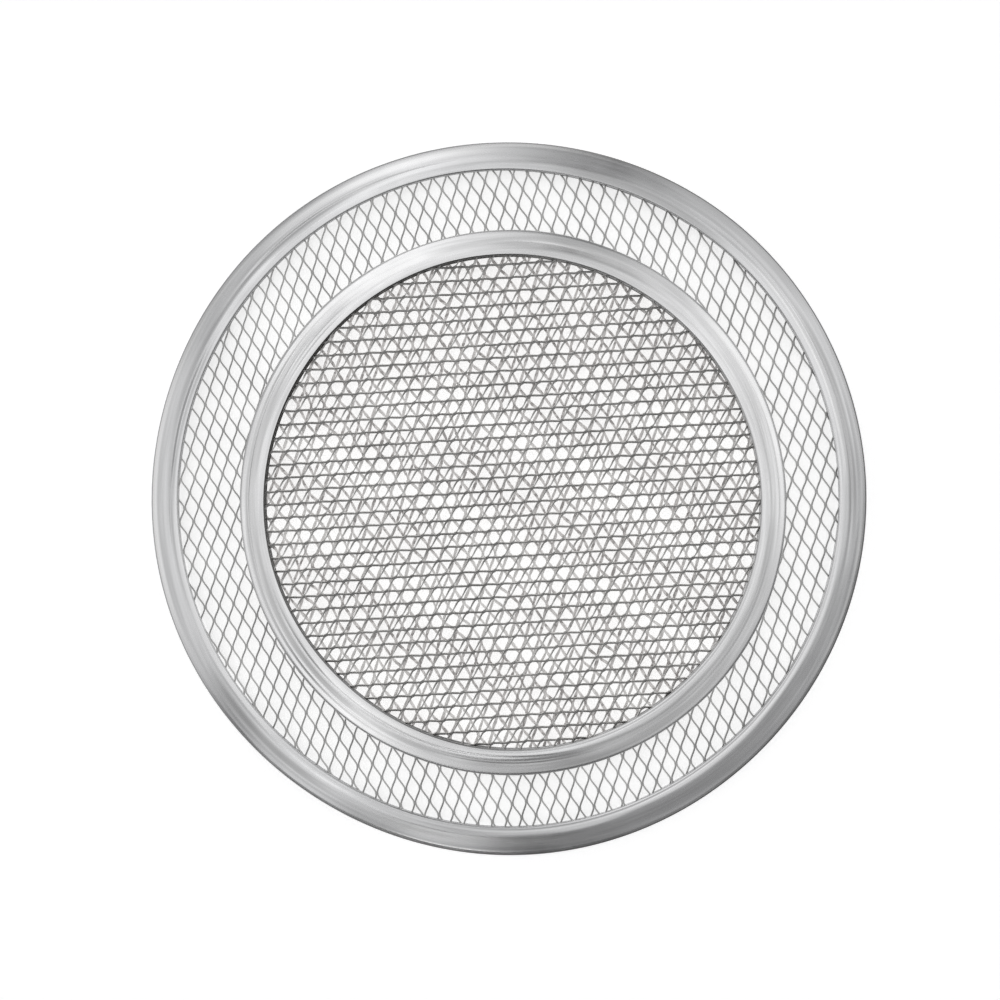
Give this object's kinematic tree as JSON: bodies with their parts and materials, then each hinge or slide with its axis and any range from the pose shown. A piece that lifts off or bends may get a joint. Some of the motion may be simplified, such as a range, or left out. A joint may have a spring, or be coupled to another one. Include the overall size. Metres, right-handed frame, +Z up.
{
  "type": "pizza screen",
  "caption": "Round pizza screens of expanded aluminium mesh in flat folded rims, a smaller one lying loose on a larger one, for baking with heat from below.",
  "frame": {"origin": "on the large screen's axis, at the underside of its rim, which is the surface that it rests on", "axes": "+Z up out of the screens' top; seen from above as in the picture, +X is to the right and +Y is up the page"},
  "size_m": [0.305, 0.305, 0.0084],
  "materials": {
    "rim": "rolled strip, satin, with fine lines running round the rim",
    "mesh": "bare slit and drawn sheet, dull satin"
  },
  "bodies": {
    "large_screen": {"large_rim": "rim", "large_mesh": "mesh"},
    "small_screen": {"small_rim": "rim", "small_mesh": "mesh"}
  },
  "joints": [
    {"name": "small_screen_lift", "type": "slide", "parent": "large_screen", "child": "small_screen", "axis": [0, 0, 1], "range_m": [0, 0.1]}
  ]
}
